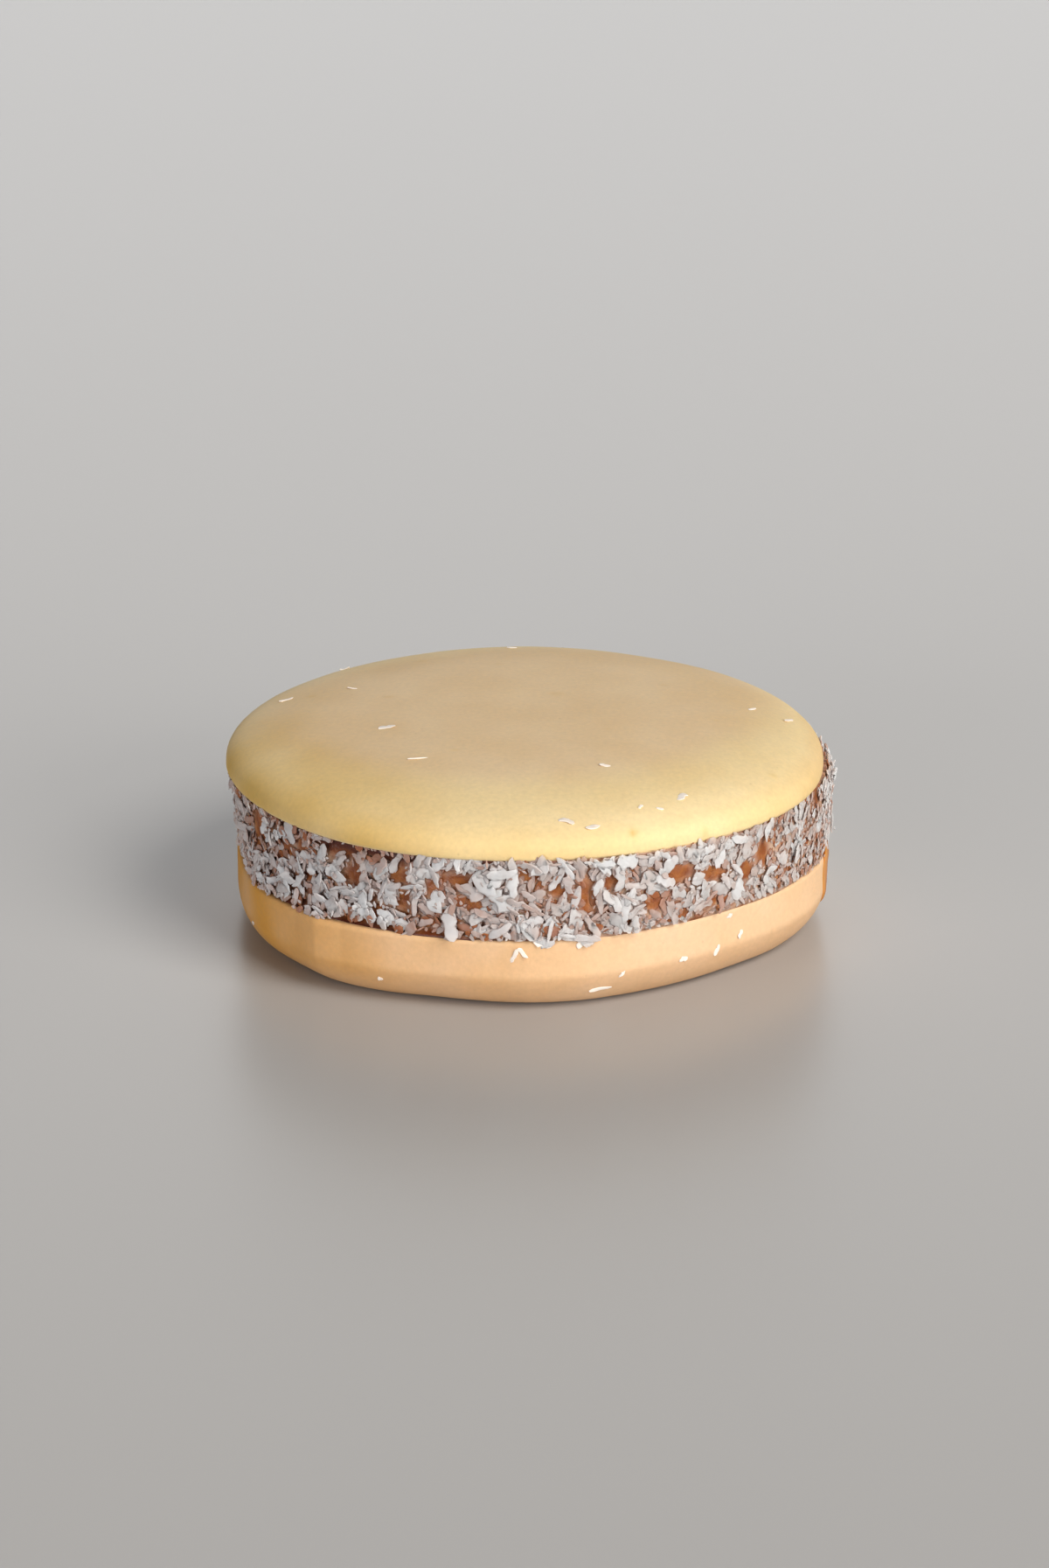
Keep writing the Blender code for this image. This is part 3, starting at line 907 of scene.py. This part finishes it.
# Coconut that fell on the biscuits. On top: x, y, length, width, spin. On the lower wall: angle, height
# over the foot, length, width, spin. Lengths are millimetres.
looseCoconut = {
    "onTop": (
        (-25, 8, 1.5, 0.45, 20), (-18, 9, 1.1, 0.35, -30), (-14, -5, 1.7, 0.75, 10),
        (-10.5, -14, 2, 0.22, 12), (7.5, -16, 1.1, 0.45, -10), (15, -22, 1.3, 0.85, 70),
        (4, -28, 1.5, 0.7, -30), (6.5, -29, 1.4, 0.6, 10), (27, 2, 1.6, 0.5, 65),
        (23, 3, 0.8, 0.3, 20), (-1.5, 25, 1, 0.4, 0), (-20, 21, 1.2, 0.4, 40),
        (13, -24.5, 0.7, 0.3, 0), (11, -24.5, 0.6, 0.3, 60),
    ),
    "onWall": (
        (-3.2, 6.1, 1.5, 0.45, 62), (-1.3, 6.4, 1.3, 0.4, -48), (2.2, 7.2, 1.8, 0.75, -20),
        (9.2, 7.2, 1.2, 0.6, 60), (44, 4.7, 0.9, 0.6, 80), (38, 3.8, 1.2, 0.45, 65),
        (30, 3.8, 0.9, 0.5, 5), (17, 3.4, 0.7, 0.4, 20), (13, 1.7, 2.2, 0.4, 8),
        (-28, 2.3, 0.5, 0.4, 0), (-63, 3, 0.6, 0.4, 30), (41, 6.9, 0.6, 0.5, 0),
    ),
    "thickness": 0.14 * mm,
    "rise": 0.35,  # share of the thickness that the middle stands off the biscuit
    "tilt": 4, "roll": 8, "bend": 0.04, "twist": 0.25, "stations": 7, "seed": 61,
    "soak": (0.0, 0.12), "shade": (0.6, 1.0),
    "colours": {"thin": "ecd9c6", "thick": "f8efe6", "soaked": "dcbb96"},
}


# the grid point nearest to each wanted place, and the directions to the right and outward there
def seatOn(points, targets, behind):
    normals = gridNormals(points).reshape(-1, 3)
    flat = points.reshape(-1, 3)
    nearest = [((flat - target) ** 2).sum(axis=1).argmin() for target in targets]
    right = np.cross(behind, normals[nearest])
    return flat[nearest], right / np.linalg.norm(right, axis=1, keepdims=True), normals[nearest]


def buildLooseCoconut():
    spec = looseCoconut
    draw = np.random.default_rng(spec["seed"])
    onTop, onWall = np.array(spec["onTop"]), np.array(spec["onWall"])
    topHeight = np.full((len(onTop), 1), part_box("top_biscuit")[1][2])
    topTargets = np.concatenate([onTop[:, :2] * mm, topHeight], axis=1)
    wallTargets = polar(bottomAxis, onWall[:, 0], radiusAt(bottomOutline, onWall[:, 0]), onWall[:, 1] * mm)
    seats, right, outward = (np.concatenate(both) for both in zip(
        seatOn(topPoints, topTargets, (0, 1, 0)), seatOn(bottomPoints, wallTargets, (0, 0, 1))))
    length, width, spin = np.concatenate([onTop[:, 2:], onWall[:, 2:]]).T
    tilt, roll = (draw.normal(0, spec[turn], spin.size) for turn in ("tilt", "roll"))
    flesh = coconutMaterial("desiccated coconut, thin and dusted with dough", spec["colours"], 0.1)
    addShreds(
        "looseCoconut", spec, draw, flesh, centre=seats + outward * spec["rise"] * spec["thickness"],
        frames=pieceFrames(right, np.cross(outward, right), outward, spin, tilt, roll),
        length=length * mm, width=width * mm, thickness=np.full(spin.size, spec["thickness"]))


buildLooseCoconut()

# Caramel run down from the coat over the lower biscuit's right side, thin enough to glow amber
caramelSmear = {
    "columns": 48, "rows": 60,
    "angle": 79,
    "lean": 3.0,  # degrees that its top lies further back than its foot
    "heights": (2.3 * mm, 8.3 * mm),
    "halfWidth": 1.35 * mm,
    "bluntness": 2.6,  # 2 is an ellipse, more is squarer
    "spread": 0.6,  # how much wider it is at the coat than halfway down
    "outline": (0.5, 0.9, 72),  # how it wavers: strength, cell size in half widths, seed
    "thickness": 0.3 * mm,
    "ripple": (0.25, 1.2 * mm, 71),
    "farSide": (0.4, 0.5),  # share of the thick colour at its middle, and how much more at its far side
    "thin": "cf8c44", "thick": "94501f",
    "roughness": 0.18,
    "glow": (0.3, 0.8 * mm, (1.0, 0.45, 0.12)),
}


# a flat ellipse carried up the wall; width and thickness are (1 - |v|^bluntness)^(1/2) x (1 + noise), and
# the width also grows towards the coat
def buildSmear():
    spec = caramelSmear
    v = np.linspace(-1, 1, spec["rows"] + 2)[1:-1, None]
    phi = math.tau * np.arange(spec["columns"])[None, :] / spec["columns"]
    full = (1 - np.abs(v) ** spec["bluntness"]) ** 0.5
    middle = spec["angle"] + spec["lean"] * v / 2
    low, high = spec["heights"]
    height = (low + high) / 2 + (high - low) / 2 * v
    tuck = bottomBiscuit["curveWidth"] * ramp(height, bottomBiscuit["curveHeight"], 0) ** 2
    wall = radiusAt(bottomOutline, middle) - tuck
    alongOutline = np.stack(np.broadcast_arrays(np.cos(phi), np.sin(phi), 3 * v), axis=-1)
    wavering = 1 + relief(alongOutline, [spec["outline"]])
    sideways = -spec["halfWidth"] * full * (1 + spec["spread"] * v) * wavering * np.cos(phi)
    degrees = middle + np.degrees(sideways / wall)
    ripple = 1 + relief(polar(bottomAxis, degrees, wall, height), [spec["ripple"]])
    points = polar(bottomAxis, degrees, wall + spec["thickness"] * full * ripple * np.sin(phi), height)
    material, tree = newMaterial("dulce de leche, thin smear")
    colour = mixColours(tree, carried(tree, "shade"), spec["thin"], spec["thick"])
    addSurface(tree, colour, spec["roughness"], caramelLook["ior"], spec["glow"])
    share, change = spec["farSide"]
    shade = (share + change * sideways / spec["halfWidth"]).clip(0, 1)
    addPiece("caramelSmear", closedGrid("caramelSmear", points, {"shade": shade}), material)


buildSmear()

# A plain pale table top, honed smooth, so it gives back a blurred warm glow under the biscuits
floorLook = {"halfSize": 6.0, "colour": "b1aeac", "roughness": 0.3}


def buildFloor():
    half = floorLook["halfSize"]
    mesh = bpy.data.meshes.new("tableTop")
    corners = [(x * half, y * half, 0) for x, y in ((-1, -1), (1, -1), (1, 1), (-1, 1))]
    mesh.from_pydata(corners, [], [(0, 1, 2, 3)])
    floor = addObject("tableTop", mesh)
    material, tree = newMaterial("honed pale stone")
    addSurface(tree, linear(floorLook["colour"]), floorLook["roughness"], 1.5)
    mesh.materials.append(material)


buildFloor()

# Soft studio light: a low softbox and a high one to the front right, a weaker low one to the front left,
# and a white board behind, whose light glances off the top and the table
studio = {
    # azimuth, elevation, width, height, power, colour
    "softboxes": {
        "window": (47, 14, 1.7, 1.2, 41, "fffdf8"),
        "ceiling": (52, 46, 1.3, 1.2, 40, "fffdf8"),
        "fill": (-38, 9, 1.8, 0.76, 27, "fbfcff"),
        "board": (185, 20, 2.0, 1.7, 15, "ffffff"),
    },
    "distance": 2.4,
    "skyColour": "f4f7ff",
    "skyStrength": 0.02,
    "wallStrength": 0.35,  # how light the far wall looks past the table's end
}


# stands an object on a sphere round a place, by azimuth and elevation, and turns it to face that place
def addFacing(name, data, place, azimuth, elevation, distance):
    pitch = math.radians(elevation)
    added = addObject(name, data)
    height = place[2] + distance * math.sin(pitch)
    added.location = polar(place, azimuth, distance * math.cos(pitch), height)
    added.rotation_euler = (math.pi / 2 - pitch, 0, math.radians(azimuth))
    return added


def buildLights():
    for name, (azimuth, elevation, width, height, power, colour) in studio["softboxes"].items():
        lamp = bpy.data.lights.new(name, "AREA")
        lamp.shape = "RECTANGLE"
        lamp.size = width
        lamp.size_y = height
        lamp.energy = power
        lamp.color = linear(colour)[:3]
        softbox = addFacing(name, lamp, (0, 0, 0), azimuth, elevation, studio["distance"])
        softbox.visible_camera = False
    world = bpy.data.worlds.new("dim studio")
    world.use_nodes = True
    tree = world.node_tree
    tree.nodes.clear()
    seen = addNode(tree, "ShaderNodeLightPath").outputs["Is Camera Ray"]
    sky = addNode(tree, "ShaderNodeBackground", inputs={
        "Color": linear(studio["skyColour"]),
        "Strength": mixNumbers(tree, seen, studio["skyStrength"], studio["wallStrength"])})
    addNode(tree, "ShaderNodeOutputWorld", inputs={"Surface": sky.outputs["Background"]})
    bpy.context.scene.world = world


buildLights()

# Looking down at the stack's middle from the front
view = {
    "aim": (-0.21 * mm, 0.07 * mm, 12.6 * mm),
    "distance": 390 * mm,
    "elevation": 19.33,  # degrees
    "lens": 88.6,
    "sensor": 36.0,
}


def buildCamera():
    camera = bpy.data.cameras.new("camera")
    camera.lens = view["lens"]
    camera.sensor_width = view["sensor"]
    camera.clip_start = 0.01
    holder = addFacing("camera", camera, view["aim"], 0, view["elevation"], view["distance"])
    bpy.context.scene.camera = holder
    bpy.context.scene.view_settings.view_transform = "Standard"


buildCamera()

print("scene ready")
